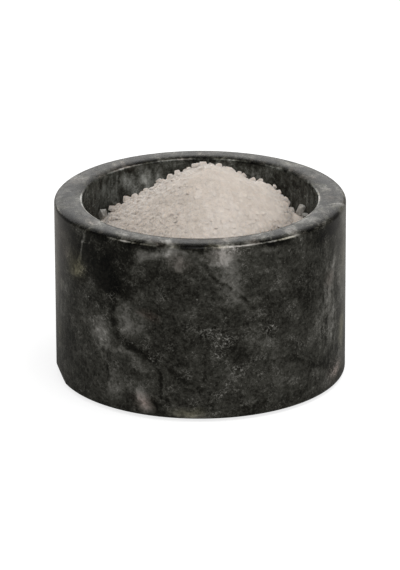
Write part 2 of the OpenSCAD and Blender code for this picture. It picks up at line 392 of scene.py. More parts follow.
# Pale clouds and flecks, and the dark ground between them, with some painted sheen and painted dark bands
PALE_SPOTS_AND_SHEEN = spot_table(wall=[
    # Rim patch in front and the band that runs down from it to the right
    (8, 60, 6.5, 5, 0.6, 10), (-10.5, 61.5, 4, 4, 0.3), (10, 55, 6, 4, 0.18, -50), (1, 57, 5, 4, 0.2, -60),
    (9, 50, 10, 5.5, 0.24, -45), (20, 54, 16, 8, 0.08, -10), (22, 60, 12, 3, 0.12), (25, 60.5, 5, 2.5, 0.14),
    (-15, 60, 6, 2.5, 0.18), (13, 43, 8, 4, 0.12, -50), (-7, 57, 6, 3, 0.28, 5), (-19, 58, 8, 2.5, 0.16, 10),
    (-22, 55, 5, 2.5, 0.12, 50), (-4, 60.5, 9, 2.5, 0.2),
    # Pale patches left of the middle
    (-24.7, 32, 8, 5, 0.26, 10), (-27.5, 37, 6, 4, 0.2, 20), (-20, 36, 5, 2, 0.12, -10),
    (-37.5, 27.5, 7.5, 5, 0.34, 65), (-43, 30, 5, 2.5, 0.1, -10), (-36, 23, 8, 2.2, 0.2, 75),
    (-30, 22.5, 7, 2.5, 0.14, -5), (-22, 19, 6, 2.5, 0.14, -50), (-16, 12, 9, 7, 0.08),
    # Bottom left
    (-20, 5.5, 6, 4, 0.5, -70), (-31, 7.5, 5, 4.5, 0.24, 60), (-32, 13.5, 4, 3, 0.14),
    (-25, 11, 7, 4, 0.16, -20), (-12, 7, 5, 3, 0.12, -40), (-7, 3, 7, 3, 0.16, -5), (-3, 1.8, 7, 2, 0.34),
    # Middle and right
    (30, 10, 12, 7, 0.06), (26, 45, 9, 7, 0.06), (19.5, 28, 6, 3, 0.14), (25, 25, 6, 4, 0.12, -30),
    (36, 34, 4, 3.5, 0.12), (12, 16, 10, 6, 0.08, -40), (28, 14, 10, 6, 0.08, 30),
    # Streaks on the right
    (58, 47, 8, 3, 0.26, 62), (54, 37, 8, 4, 0.34, 75), (49, 30, 6, 3.5, 0.2, 60), (56, 27, 10, 4, 0.22, 85),
    (44, 24, 8, 4, 0.14, 60), (51, 20, 10, 8, 0.08), (61, 41, 6, 5, 0.08), (60, 22, 8, 2.5, 0.16, 85),
    (61, 6, 6, 3.2, 0.32, 10), (53, 4, 6, 3, 0.12), (48, 9, 6, 3, 0.12),
    # Far right and far left: pale patches, partly a painted reflection that the wall's turning edges catch
    (67, 45, 8, 4, 0.1, 70), (66, 33, 6, 5, 0.1), (67, 18, 11, 6, 0.3, 80), (69, 8, 6, 5, 0.16),
    (68, 59, 6, 7, 0.14), (66, 37, 6, 6, 0.08), (-68, 42, 9, 4, 0.06, 75), (-67, 18, 8, 4, 0.1, 80),
    (-61, 25, 16, 1.6, 0.1, 80), (-64, 30, 14, 1.2, 0.14, 85), (-50.5, 47, 6, 4, 0.26, 15),
    (-57, 52, 6, 8, 0.04), (-46, 49, 4, 2.5, 0.1, 30), (-62, 37, 8, 3, 0.12),
], rim=[
    (9.5, -44.5, 7, 4.5, 0.42, 80), (-12, -46, 4, 2.5, 0.18, 70), (44.5, 8, 9, 1.1, 0.14, 100),
    (40, 20, 8, 1.0, 0.12, 118), (47.5, -2, 7, 1.0, 0.12, 92), (37, -25, 5, 3, 0.34, 50),
    (30, -34, 5, 2.5, 0.36, 40), (22, -41, 6, 2, 0.14, 25), (30, 34, 6, 3, 0.26, -45),
    (47, -8, 5, 1.2, 0.4, 15), (44, -12, 4, 1.5, 0.14, 25), (-38, -26, 5, 4, 0.26, -50),
    (-26, -39, 4, 2, 0.16, -20), (13, 44, 6, 2, 0.14, -15), (-12, 45, 6, 2.5, 0.12, 10),
], hollow=[
    (118, 55, 9, 4, 0.5, 80), (109, 55, 8, 2.2, 0.3, 75), (127, 56, 8, 3.5, 0.36, 60),
    (138, 53, 9, 3.5, 0.26, 70), (152, 54, 8, 5, 0.08), (172, 58, 8, 3, 0.08, 30), (64, 59, 9, 2.5, 0.16, 20),
    (78, 60, 6, 2, 0.14, 15), (30, 53, 5, 4, 0.14, 50), (24, 57, 5, 2, 0.12, 70), (8, 56, 8, 5, 0.12),
    (90, 60, 10, 2, 0.1), (-140, 50, 14, 8, 0.12, 30), (-60, 40, 14, 8, 0.14, -30),
    (-100, 52, 12, 5, 0.12, 60),
])

DARK_SPOTS_AND_SHADE = spot_table(wall=[
    (-35, 53, 16, 13, 0.22), (-31, 45, 9, 5, 0.16), (-52, 57, 7, 5, 0.16), (35, 4, 8, 3, 0.08),
    (10, 25, 8, 4, 0.07, -20), (53, 59, 14, 4, 0.2), (-8, 48, 9, 5, 0.04), (42, 40, 8, 7, 0.07),
    (-57, 20, 8, 18, 0.07), (-52, 41, 8, 5, 0.05), (-40, 37.5, 8, 4.5, 0.07), (-44, 59, 4, 5, 0.1),
    (-63, 45, 6, 22, 0.11), (-62, 60, 7, 4, 0.24), (-66, 61.5, 7, 2.2, 0.3), (58, 60, 6, 4, 0.14),
    (60, 52, 8, 11, 0.07), (11, 15, 6, 4, 0.03), (61, 60.5, 5, 3, 0.2), (-57, 61, 8, 3, 0.2, -10),
], rim=[
    # The rim rows hold dark flecks of the stone, and a painted dark reflection along the front of the outer
    # edge and the back of the lip, where these slopes mirror the darker ceiling
    (-47.2, -18, 8, 1.6, 0.3, -69), (-45.5, 4, 10, 5, 0.12, 90), (-43, -9, 8, 4, 0.06, 80),
    (46.2, 8, 9, 1.0, 0.14, 100), (43.3, 16, 8, 1.0, 0.12, 112), (43, -2, 7, 1.0, 0.1, 92),
    (0, -49, 8, 3, 0.3), (-22, -45.5, 8, 2.6, 0.3, -26), (-34, -37, 7, 2.6, 0.3, -44),
    (25, -44, 9, 2.2, 0.3, 30), (38, -32, 6, 2, 0.2, 50), (46, -18, 7, 2.4, 0.24, 69),
    (-44, -21, 9, 2.4, 0.3, -64), (-27, 33, 9, 3, 0.16, 42), (0, 42.5, 14, 2.4, 0.2),
    (28, 34, 10, 2, 0.16, -48),
], hollow=[
    (100, 55, 12, 5, 0.08), (45, 55, 10, 6, 0.08), (168, 52, 14, 8, 0.1), (190, 55, 10, 6, 0.06),
])

DARK_VEINS = vein_table([
    ([(-32.5, 41), (-32, 33), (-30, 28), (-24.7, 24.6), (-16.3, 21.6)], 2.4, 0.12),
    ([(-31, 34), (-27, 27), (-20, 22.5), (-15, 18)], 0.9, 0.06),
    ([(-16.3, 21.6), (-8, 16), (-0.5, 11)], 1.5, 0.07),
    ([(-16, 21), (-14.5, 15), (-13.5, 9), (-9, 3)], 1.3, 0.13),
    ([(-0.5, 58), (5.3, 51), (10, 48), (17, 41)], 1.1, 0.17),
    ([(-18, 8), (-15, 3)], 1.2, 0.14),
    ([(30, 20), (44, 13), (58, 8)], 1.6, 0.1),
    ([(-36, 27), (-36.5, 20), (-34, 12)], 0.8, 0.14),
    ([(-56, 27), (-53, 20), (-50, 14)], 1.1, 0.07),
])

PALE_VEINS = vein_table([
    ([(-44.7, 62), (-46.5, 58), (-48, 54), (-49.5, 50)], 0.8, 0.3),
    ([(-41, 62), (-43, 59), (-46.5, 58)], 0.6, 0.2),
    ([(-24, 53), (-20, 58), (-12, 59.5), (-7, 58)], 2.2, 0.07),
    ([(-9, 57), (-4, 52), (-1, 50)], 1.2, 0.12),
    ([(-34, 23), (-24, 22), (-19.7, 16)], 1.6, 0.08),
    ([(-53, 30), (-56, 22), (-52, 14)], 0.9, 0.07),
    ([(-59, 32), (-57, 22)], 0.8, 0.06),
])

# Stretches of the rim's outer edge and of the lip that are scuffed pale, where the pale line also paints the
# highlight that these rounded edges catch
EDGE_WEAR_AND_HIGHLIGHT_SPOTS = spot_table(wall=[
    (-26, 62.5, 12, 3, 1.3), (14, 62.5, 11, 3, 1.2), (30, 62.5, 12, 3, 1.4), (-66, 62.5, 6, 3, 1.6),
], rim=[
    (-26, 32, 14, 5, 0.9, 40), (-10, 40.5, 12, 3, 0.8, 12), (12, 39.5, 10, 3, 0.7, -15),
    (25, 33, 7, 3, 0.5, -40), (-41, -4, 22, 4, 1.5, 95), (-35, -22, 12, 4, 2.0, -55), (41, 0, 20, 4, 1.3, 90),
    (35, -22, 13, 4, 2.2, 55),
])

# Where upright streaks run over the wall
STREAK_SPOTS = spot_table(wall=[
    (55, 30, 12, 30, 1.6), (62, 8, 8, 8, 0.8), (-62, 34, 9, 34, 0.7), (-36, 22, 6, 10, 0.4),
])

# Where fine pale squiggles crowd
SQUIGGLE_SPOTS = spot_table(wall=[
    (3, 31.5, 6, 4, 0.7, 25), (9, 29.5, 5, 4.5, 0.8, -40), (6, 27, 4, 5, 0.5), (-4, 34, 7, 3.5, 0.5, -25),
    (16, 31, 5, 4, 0.4, -20), (25, 31, 4.5, 3.4, 0.8, 50), (21, 38, 6, 3, 0.5, 60), (27, 52, 3, 2, 0.5),
    (38, 46, 3, 4, 0.5), (6, 23, 4, 2.5, 0.7), (13.5, 17, 4.5, 3, 0.9, -45), (9, 12, 6, 2.5, 0.6, 60),
    (7, 8.4, 4, 2.5, 0.7), (-17, 21.6, 3, 2, 0.7), (-4.7, 15, 3, 2, 0.7), (-33, 42, 4, 3, 0.8),
    (-43.4, 38, 4, 2.5, 0.8), (-39, 36, 3, 2, 0.7), (-47, 48, 5, 4, 0.7), (57, 6, 9, 5, 0.7),
    (61, 8, 6, 4, 0.5, 20), (50, 24, 8, 7, 0.5), (12, 61, 8, 3, 0.7),
])

# Tints, and where the stone has them
PINK_TINT = (1.0, 0.8, 0.76, 1)
OLIVE_TINT = (1.0, 0.96, 0.7, 1)
COOL_TINT = (0.88, 0.96, 1.0, 1)
PINK_SPOTS = spot_table(wall=[
    (-64, 53, 11, 10, 0.9), (-20, 5, 6, 5, 0.9), (60, 6, 8, 5, 0.9), (7, 60, 9, 5, 0.22), (-7, 57, 6, 4, 0.4),
    (-18, 36.6, 5, 2.5, 1.1, -20), (54.5, 42, 5, 4, 0.5),
], rim=[
    (-25, 36, 9, 4, 1.0, 36), (-38, -26, 5, 4, 0.6, -50), (46, 2, 5, 9, 0.35),
])

OLIVE_SPOTS = spot_table(wall=[
    (-51, 48, 9, 7, 1.5), (-67, 40, 8, 7, 0.7), (-67, 19, 8, 7, 0.7), (68, 46, 7, 12, 0.9),
    (67, 20, 7, 10, 0.9), (-4, 2.5, 8, 3, 1.0),
])


def marble_tone(nodes, place, ragged, light):
    """How light the marble is, from 0 to 1 as the eye sees it. Its pale clouds hide part of the grain."""
    clouds = nodes.noise(place, 26, 3, 0.55)
    drift = nodes.warped(place, 14, 3.5)
    mottle = nodes.noise(drift, 6.5, 8, 0.66, 0.4)
    wisps = nodes.noise(nodes.mapped(drift, (0.35, 1.0, 1.6), (0.3, 0.75, 0.4)), 4.5, 7, 0.7, 0.6)
    tone = nodes.plus(0.131, clouds, 0.1)
    tone = nodes.plus(tone, nodes.smooth(mottle, 0.34, 0.72), 0.1)
    tone = nodes.plus(tone, nodes.smooth(wisps, 0.48, 0.8), 0.11)

    grain = nodes.swing(place, 1.2, 2, 0.8)
    specks = nodes.noise(nodes.moved(place, 31, 17, 5), 0.9, 2)
    pits = nodes.noise(nodes.moved(place, -12, 40, 23), 0.9, 2)
    cracks = nodes.ridge(ragged, 5, 4, 0.6)
    fine = nodes.times(grain, 0.38)
    fine = nodes.plus(fine, nodes.smooth(specks, 0.62, 0.8), 0.2)
    fine = nodes.plus(fine, nodes.smooth(pits, 0.62, 0.8), -0.16)
    fine = nodes.plus(fine, nodes.smooth(cracks, 0.0, 0.02, 1.0, 0.0), -0.06)
    return nodes.plus(tone, fine, nodes.smooth(light, 0.02, 0.3, 1.0, 0.45))


def hidden_pattern(nodes, ragged, parts, radius):
    """Pale clouds and veins on the back of the wall and under the foot."""
    back = nodes.times(nodes.smooth(parts["Y"], -6, 10), nodes.smooth(radius, 45.5, 48))
    back = nodes.times(back, nodes.smooth(parts["Z"], RIM_Z - 1.5, RIM_Z - 4, 0.0, 1.0))
    under = nodes.smooth(parts["Z"], BASE_Z + 0.2, BASE_Z + 1.5, 1.0, 0.0)
    where = nodes.math("MAXIMUM", back, under)
    clouds = nodes.smooth(nodes.noise(ragged, 15, 2), 0.54, 0.74, 0.0, 0.3)
    dusk = nodes.smooth(nodes.noise(nodes.moved(ragged, 90, 20, 50), 18, 2), 0.52, 0.72, 0.0, -0.14)
    vein = nodes.smooth(nodes.ridge(ragged, 24, 2), 0.0, 0.045, -0.12, 0.0)
    broken = nodes.smooth(nodes.noise(nodes.moved(ragged, 10, 70, 30), 12, 2), 0.42, 0.6)
    pattern = nodes.plus(nodes.math("ADD", clouds, dusk), vein, broken)
    return nodes.times(pattern, where)


def rim_flecks(nodes, ragged):
    """How much lighter or darker the flecks on the rim are."""
    long = nodes.mapped(ragged, (1.0, 0.5, 1.0))
    flecks = nodes.plus(-0.04, nodes.swing(long, 2.2, 2, 0.6), 0.65)
    return nodes.plus(flecks, nodes.swing(long, 6, 3, 0.6), 0.9)


def hollow_dust_and_shade(nodes, tone, ragged, parts, inside):
    """The tone with the dust and blotches in the hollow, and a painted shade that makes it darker lower down,
    towards the salt.
    """
    tone = nodes.plus(tone, inside, HOLLOW_DUST)
    tone = nodes.plus(tone, nodes.times(nodes.swing(ragged, 4, 4, 0.6), inside), 0.4)
    # Painted shade: the hollow's wall darker lower down, near the salt
    low = nodes.smooth(parts["Z"], 50, 60, -0.05, 0.0)
    return nodes.plus(tone, low, inside)


def edge_line(nodes, radius, height, at, half_width):
    """A band of that half width round a turned edge, from 0 to 1."""
    out = nodes.math("SUBTRACT", radius, at[0])
    up = nodes.math("SUBTRACT", height, at[1])
    away = nodes.math("SQRT", nodes.plus(nodes.times(up, up), out, out))
    return nodes.smooth(away, 0.3 * half_width, half_width, 1.0, 0.0)


def edge_wear_and_highlights(nodes, ragged, parts, radius, frost):
    """Pale lines along the rim's outer edge and its lip: scuff wear, and a painted highlight where these
    rounded edges catch the light.
    """
    outer, inner, _ = rim_shape()
    wear = nodes.times(nodes.spots(ragged, EDGE_WEAR_AND_HIGHLIGHT_SPOTS), nodes.smooth(frost, 0.32, 0.55, 0.4, 1.15))
    outer_line = edge_line(nodes, radius, parts["Z"], on_arc(outer, RIM_EDGE_R, 52), 0.5)
    inner_line = edge_line(nodes, radius, parts["Z"], on_arc(inner, LIP_EDGE_R, 114), 0.5)
    return nodes.times(nodes.math("MAXIMUM", outer_line, inner_line), wear)


def tinted(nodes, colour, ragged, top, inside):
    """The colour with its pink and olive clouds, and a cooler hollow."""
    tints = nodes.noise(ragged, 8, 3)
    pink = nodes.spots(ragged, PINK_SPOTS, nodes.times(top, nodes.smooth(tints, 0.5, 0.65, 0.0, 0.5)))
    olive = nodes.spots(ragged, OLIVE_SPOTS, nodes.times(top, nodes.smooth(tints, 0.35, 0.5, 0.5, 0.0)))
    for amount, tint in ((pink, PINK_TINT), (olive, OLIVE_TINT), (inside, COOL_TINT)):
        colour = nodes.mix(nodes.times(amount, 0.9, clamp=True), colour, tint, "MULTIPLY")
    return colour


def marble_material():
    material, nodes, place = new_material("marble")
    ragged = nodes.warped(nodes.warped(place, 9, 2.0), 2.6, 1.1, 4)
    frost = nodes.noise(ragged, 2.6, 6, 0.68)
    parts = nodes.parts(place)
    across = nodes.add("ShaderNodeCombineXYZ", {"X": parts["X"], "Y": parts["Y"]}).outputs[0]
    radius = nodes.add("ShaderNodeVectorMath", {0: across}, operation="LENGTH").outputs["Value"]
    inside = nodes.smooth(radius, HOLLOW_R + 0.1, HOLLOW_R + 0.6, 1.0, 0.0)
    top = nodes.smooth(parts["Z"], RIM_Z - 0.8, RIM_Z - 0.1)

    # Pale spots, among them a painted reflection at the wall's far edges
    light = nodes.spots(ragged, PALE_SPOTS_AND_SHEEN + PALE_VEINS)
    light = nodes.times(light, nodes.smooth(frost, 0.3, 0.68, 0.5, 1.4))
    # Dark spots, among them a painted dark reflection along the rim's edges
    dark = nodes.spots(ragged, DARK_SPOTS_AND_SHADE + DARK_VEINS)
    dark = nodes.times(dark, nodes.smooth(frost, 0.35, 0.65, 1.25, 0.75))
    tone = nodes.math("ADD", marble_tone(nodes, place, ragged, light), light)
    tone = nodes.math("SUBTRACT", tone, dark)
    tone = nodes.math("ADD", tone, hidden_pattern(nodes, ragged, parts, radius))
    crackle = nodes.smooth(nodes.noise(place, 5, 2), 0.45, 0.75, 0.05, 0.4)
    squiggles = nodes.math("MAXIMUM", nodes.spots(ragged, SQUIGGLE_SPOTS), crackle)
    line = nodes.smooth(nodes.ridge(ragged, 1.5, 2), 0.0, 0.04, 1.0, 0.0)
    tone = nodes.plus(tone, nodes.times(line, squiggles), 0.62)
    tone = hollow_dust_and_shade(nodes, tone, ragged, parts, inside)
    streaks = nodes.swing(nodes.mapped(ragged, (1.0, 1.0, 0.3)), 2.0, 4, 0.65)
    streaked = nodes.math("MAXIMUM", nodes.times(inside, 0.9), nodes.spots(place, STREAK_SPOTS))
    tone = nodes.plus(tone, nodes.times(streaks, streaked), 0.75)
    tone = nodes.plus(tone, top, rim_flecks(nodes, ragged))
    # Pale lines on the rim's edges: scuff wear and a painted highlight
    tone = nodes.plus(tone, edge_wear_and_highlights(nodes, ragged, parts, radius, frost), 0.44)

    colour = nodes.ramp(tone, [
        (0.0, linear(15, 15, 13)),
        (0.15, linear(39, 38, 33)),
        (0.3, linear(77, 76, 70)),
        (0.5, linear(128, 126, 120)),
        (0.8, linear(196, 193, 187)),
    ])
    finish_surface(nodes, {
        "Base Color": tinted(nodes, colour, ragged, top, inside), "IOR": 1.25,
        "Roughness": nodes.smooth(frost, 0.3, 0.75, 0.22, 0.34),
        "Normal": nodes.bump(nodes.noise(place, 0.6, 3), 0.25, 0.02),
    })
    return material


def salt_material(name, shade, depth):
    """Salt of one shade, with dark specks that paint the small shadows between crystals, more of them on its
    left where the heap lies in more shade. Light goes into it by that depth in millimetres.
    """
    material, nodes, place = new_material(name)
    island = nodes.add("ShaderNodeNewGeometry").outputs["Random Per Island"]
    deep = linear(*(0.93 * level for level in shade))
    warm = linear(shade[0], 0.96 * shade[1], 0.92 * shade[2])
    painted_shade_speck_colour = linear(*(0.66 * level for level in shade))
    colour = nodes.mix(nodes.smooth(nodes.noise(place, 3, 4, 0.6), 0.35, 0.7), deep, linear(*shade))
    colour = nodes.mix(nodes.times(island, 0.35), colour, warm)
    # Dark specks of painted shade between the crystals, heavier on the left
    left = nodes.smooth(nodes.parts(place)["X"], -28, 18, 0.55, 0.1)
    pits = nodes.times(nodes.smooth(nodes.noise(place, 0.6, 2), 0.5, 0.66), left)
    frost = nodes.noise(place, 0.4, 3)
    finish_surface(nodes, {
        "Base Color": nodes.mix(pits, colour, painted_shade_speck_colour), "Roughness": nodes.smooth(frost, 0.3, 0.7, 0.3, 0.55),
        "IOR": 1.45, "Subsurface Weight": 0.3, "Subsurface Radius": (depth, 0.85 * depth, 0.7 * depth),
        "Subsurface Scale": MM, "Sheen Weight": 0.25, "Sheen Roughness": 0.35,
        "Normal": nodes.bump(frost, 0.3, 0.05),
    })
    return material


def clear_salt_material():
    material, nodes, place = new_material("clear_crystal")
    cloud = nodes.noise(place, 1.6, 4, 0.6)
    colour = nodes.mix(nodes.smooth(cloud, 0.35, 0.7), linear(174, 171, 165), linear(214, 211, 205))
    finish_surface(nodes, {
        "Base Color": colour, "Roughness": nodes.smooth(cloud, 0.3, 0.7, 0.12, 0.35), "IOR": 1.5,
        "Transmission Weight": 0.2,
    })
    return material


def pad_material():
    material, nodes, place = new_material("pad")
    fibres = nodes.noise(place, 0.5, 4, 0.7)
    colour = nodes.mix(nodes.smooth(fibres, 0.3, 0.7), linear(34, 34, 34), linear(58, 57, 55))
    finish_surface(nodes, {
        "Base Color": colour, "Roughness": nodes.smooth(fibres, 0.3, 0.7, 0.75, 0.95),
        "Normal": nodes.bump(fibres, 0.5, 0.1),
    })
    return material


# Stone bowl and its pads

def rim_shape():
    """Centres of the arcs of the rim's outer edge and of its lip, and the arched profile between them."""
    steep = math.radians(90 - RIM_SLOPE)
    outer_end = STONE_R - RIM_EDGE_R * (1 - math.cos(steep))
    inner_end = HOLLOW_R + LIP_EDGE_R * (1 - math.cos(steep))
    middle, half = (outer_end + inner_end) / 2, (outer_end - inner_end) / 2
    drop = half * math.tan(math.radians(RIM_SLOPE)) / RIM_POWER
    steps = 20
    arch = []
    for i in range(1, steps):
        share = 1 - 2 * i / steps
        arch.append((middle + half * share, RIM_Z + RIM_CREST - drop * abs(share) ** RIM_POWER))
    edge_z = RIM_Z + RIM_CREST - drop
    outer = (STONE_R - RIM_EDGE_R, edge_z - RIM_EDGE_R * math.sin(steep))
    inner = (HOLLOW_R + LIP_EDGE_R, edge_z - LIP_EDGE_R * math.sin(steep))
    return outer, inner, arch


def on_arc(centre, radius, angle):
    """Distance from the axis and height of a point on a profile's arc."""
    return arc(centre, radius, angle, angle, 1)[0]


def worn(point):
    """The point moved inwards where the foot is chipped and where the rim's edges are worn."""
    beyond = point.dot(CHIP_WAY) - CHIP_REACH
    if beyond > 0:
        return point - beyond * CHIP_WAY
    near_rim = max(0.0, 1 - (RIM_Z - point.z) / NICK_REACH)
    if near_rim == 0:
        return point
    coarse, fine, level = 2.2, 0.9, 0.25
    nick = noise.noise(point / coarse) + 0.6 * noise.noise(point / fine)
    depth = NICK_DEPTH * near_rim * max(0.0, nick - level)
    radius = math.hypot(point.x, point.y)
    outer_reach, inner_reach = 1.2, 0.8
    at_outer_edge = max(0.0, 1 - abs(STONE_R - RIM_EDGE_R * 0.3 - radius) / outer_reach)
    at_inner_edge = max(0.0, 1 - abs(HOLLOW_R + LIP_EDGE_R * 0.3 - radius) / inner_reach)
    return point - Vector((0, 0, depth * (at_outer_edge + at_inner_edge)))


def make_stone(material):
    hollow_corner = (HOLLOW_R - HOLLOW_CORNER_R, FLOOR_Z + HOLLOW_CORNER_R)
    outer, inner, arch = rim_shape()
    profile = (
        [(0, BASE_Z)]
        + arc((STONE_R - FOOT_EDGE_R, BASE_Z + FOOT_EDGE_R), FOOT_EDGE_R, -90, 0, 8)
        + arc(outer, RIM_EDGE_R, 0, 90 - RIM_SLOPE, 10)
        + arch
        + arc(inner, LIP_EDGE_R, 90 + RIM_SLOPE, 180, 8)
        + arc(hollow_corner, HOLLOW_CORNER_R, 0, -90, 12)
        + [(0, FLOOR_Z)]
    )
    bowl = lathe("stone_bowl_surface", filled(profile, 2.0, 0.15), 320, material, worn)
    stand_for(bowl, "bowl", "marble", "stone_bowl")


def make_pads(material):
    edge = 0.2
    for side in ("front_left", "front_right", "back_left", "back_right"):
        node = "foot_pad_" + side
        low, high = box_mm(node)
        middle = (low + high) / 2
        radius = (high.x - low.x) / 2
        profile = filled(
            [(0, 0)]
            + arc((radius - edge, edge), edge, -90, 0, 4)
            + arc((radius - edge, high.z - edge), edge, 0, 90, 4)
            + [(0, high.z)], 1.5, 0.1)
        pad = lathe(node + "_surface", profile, 72, material)
        pad.data.transform(Matrix.Translation(Vector((middle.x, middle.y, 0)) * MM))
        stand_for(pad, "bowl", "pad", node)


# Heap

def reach(bearing):
    """Distance from the heap's top to the salt's edge along a bearing."""
    across = PEAK_SHIFT * math.sin(bearing)
    return math.sqrt(SALT_R ** 2 - across ** 2) - PEAK_SHIFT * math.cos(bearing)


def heap_loss(share, bearing):
    """Share of its height that the heap has lost at a share of the way down."""
    top = TOP_ROUND_SHARE
    straight = (math.hypot(share, top) - top) / (math.hypot(1, top) - top)
    domed = share ** DOME_POWER
    right = (1 + math.cos(bearing)) / 2
    return (1 - right) * straight + right * domed


def heap_share(x, y):
    bearing = math.atan2(y, x - PEAK_SHIFT)
    return min(1.0, math.hypot(x - PEAK_SHIFT, y) / reach(bearing)), bearing


def smooth_step(value):
    share = min(1.0, max(0.0, value))
    return share * share * (3 - 2 * share)


def even_height(x, y):
    """Height of the heap's solid above the table."""
    share, bearing = heap_share(x, y)
    return TOE_Z + HEAP_H * (1 - heap_loss(share, bearing))


def heap_height(x, y):
    """Height of the heap with its lumps and its steep foot by the wall."""
    share = heap_share(x, y)[0]
    lumps = sum(height * noise.noise(Vector((x, y, level)) / size) for size, height, level in HEAP_WAVES)
    for lump_x, lump_y, reach_x, reach_y, height in HEAP_LUMPS:
        away = ((x - lump_x) / reach_x) ** 2 + ((y - lump_y) / reach_y) ** 2
        lumps += height * math.exp(-away)
    radius = math.hypot(x, y)
    uneven = FOOT_WAVE * noise.noise(Vector((x, y, 4)) / 6)
    to_side = smooth_step((abs(x) / max(radius, 1) - SIDE_START) / SIDE_WIDTH)
    start = FOOT_START_R + LEFT_FOOT_GROWTH * smooth_step(-x / 10)
    foot = FOOT_DROP * to_side * smooth_step((radius + uneven - start) / (FOOT_END_R - FOOT_START_R))
    mounds = 0.0
    for mound_x, mound_y, mound_reach, height in FOOT_MOUNDS:
        mounds += height * math.exp(-((x - mound_x) ** 2 + (y - mound_y) ** 2) / mound_reach ** 2)
    return even_height(x, y) + lumps * (1 - share ** 4) - max(0.0, foot - mounds)


def heap_seat(x, y):
    """The point on the heap over a place, and the way out from it."""
    step = 0.3
    z = heap_height(x, y)
    slope_x = (heap_height(x + step, y) - z) / step
    slope_y = (heap_height(x, y + step) - z) / step
    return Vector((x, y, z)), Vector((-slope_x, -slope_y, 1)).normalized()


def grain_relief(x, y):
    """Height of the small packed grains at a place on the heap."""
    place = Vector((x, y, heap_height(x, y)))
    relief = 0.0
    for size, height in GRAINS:
        near = noise.voronoi(place / size)[0]
        relief += height * min(GRAIN_CUT, near[1] - near[0])
    return relief


def core_rise(x):
    """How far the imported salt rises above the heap's height. It fills more of the gaps on the right."""
    least, growth, start, width = 0.3, 0.22, -22, 40
    return least + growth * smooth_step((x - start) / width)


def make_core(material):
    """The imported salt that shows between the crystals, from the heap's top down to its foot."""
    rings, segments = 90, 360
    inward = 1 - SKIN_T / SALT_R
    below_foot = 2
    vertices = [Vector((PEAK_SHIFT, 0, heap_height(PEAK_SHIFT, 0) + core_rise(PEAK_SHIFT)))]
    slopes = [Vector((0, 0, 1))]
    for ring in range(1, rings + 1):
        share = ring / rings
        for i in range(segments):
            bearing = 2 * math.pi * i / segments
            x, y = on_circle(share * reach(bearing), bearing)
            x += PEAK_SHIFT
            z = heap_height(x, y) + core_rise(x) + grain_relief(x, y)
            vertices.append(Vector((inward * x, inward * y, z)))
            slopes.append(heap_seat(x, y)[1])
    foot = len(vertices)
    vertices += [Vector((v.x, v.y, FOOT_Z - below_foot)) for v in vertices[-segments:]]
    slopes += slopes[-segments:]
    faces = [(0, a, b) for a, b in round_ring(1, segments)]
    for ring in range(rings):
        first = 1 + ring * segments
        faces += [(a, a + segments, b + segments, b) for a, b in round_ring(first, segments)]
    faces.append(tuple(foot + i for i in reversed(range(segments))))
    core = add_mesh("salt_heap_surface", vertices, faces, material)
    soften(core.data, slopes, SALT_SOFTNESS)
    stand_for(core, "salt", "salt", "salt_heap")


# Crystals

def random_vector(draw):
    return Vector([draw.gauss(0, 1) for _ in range(3)])


def crystal_shape(draw):
    """A faceted crystal about one unit wide with slightly rounded edges, as vertices and faces."""
    corners, boxiness = 22, 5.0
    box = (0.5, draw.uniform(0.38, 0.5), draw.uniform(0.32, 0.48))
    shape = bmesh.new()
    for _ in range(corners):
        way = random_vector(draw).normalized()
        size = sum(abs(way[i] / box[i]) ** boxiness for i in range(3)) ** (-1 / boxiness)
        shape.verts.new(way * size * draw.uniform(0.93, 1.05))
    hull = bmesh.ops.convex_hull(shape, input=shape.verts)
    bmesh.ops.delete(shape, geom=[g for g in hull["geom_interior"] if isinstance(g, bmesh.types.BMVert)])
    bmesh.ops.dissolve_limit(shape, angle_limit=math.radians(16), verts=shape.verts, edges=shape.edges)
    bmesh.ops.bevel(
        shape, geom=list(shape.edges), offset=0.045, segments=1, profile=0.5, affect="EDGES",
        clamp_overlap=True)
    bmesh.ops.remove_doubles(shape, verts=shape.verts, dist=0.004)
    bmesh.ops.triangulate(shape, faces=shape.faces)
    shape.verts.index_update()
    vertices = np.array([v.co for v in shape.verts])
    faces = np.array([[v.index for v in f.verts] for f in shape.faces])
    shape.free()
    return vertices, faces


class Packing:
    """Seats that keep their distance from each other. They are kept by cells wider than that distance."""

    def __init__(self, closeness):
        self.closeness = closeness
        self.cell = 3.4
        self.cells = {}
        self.seats = []

    def home(self, point):
        return tuple(math.floor(c / self.cell) for c in point)

    def near(self, point):
        home = self.home(point)
        for steps in itertools.product((-1, 0, 1), repeat=3):
            yield from self.cells.get(tuple(c + step for c, step in zip(home, steps)), ())

    def try_seat(self, point, out, size):
        for other, other_size in self.near(point):
            if (point - other).length < self.closeness * (size + other_size) / 2:
                return
        self.cells.setdefault(self.home(point), []).append((point, size))
        self.seats.append((point, out, size))


def random_turn(draw):
    """A turn at random. The vector drawn first only keeps the order of the draws."""
    random_vector(draw)
    return Euler([draw.uniform(0, 6.3) for _ in range(3)]).to_matrix()


def merged(name, placed, material):
    """One object of many closed shapes, each given by its vertices and faces."""
    vertices = np.concatenate([shape_vertices for shape_vertices, _ in placed])
    faces = []
    first = 0
    for shape_vertices, shape_faces in placed:
        faces += (shape_faces + first).tolist()
        first += len(shape_vertices)
    return add_mesh(name, vertices, faces, material, smooth=False)


def crystal_mesh(name, seats, shapes, draw, material, hold):
    """One object of many crystals. Hold keeps a list of points inside the salt's room."""
    placed, slopes = [], []
    for point, out, size in seats:
        vertices, faces = draw.choice(shapes)
        turned = vertices @ np.array(random_turn(draw)).T * size + np.array(point)
        placed.append((hold(turned), faces))
        slopes += [tuple(out)] * len(vertices)
    piece = merged(name, placed, material)
    soften(piece.data, slopes, SALT_SOFTNESS)
    return piece


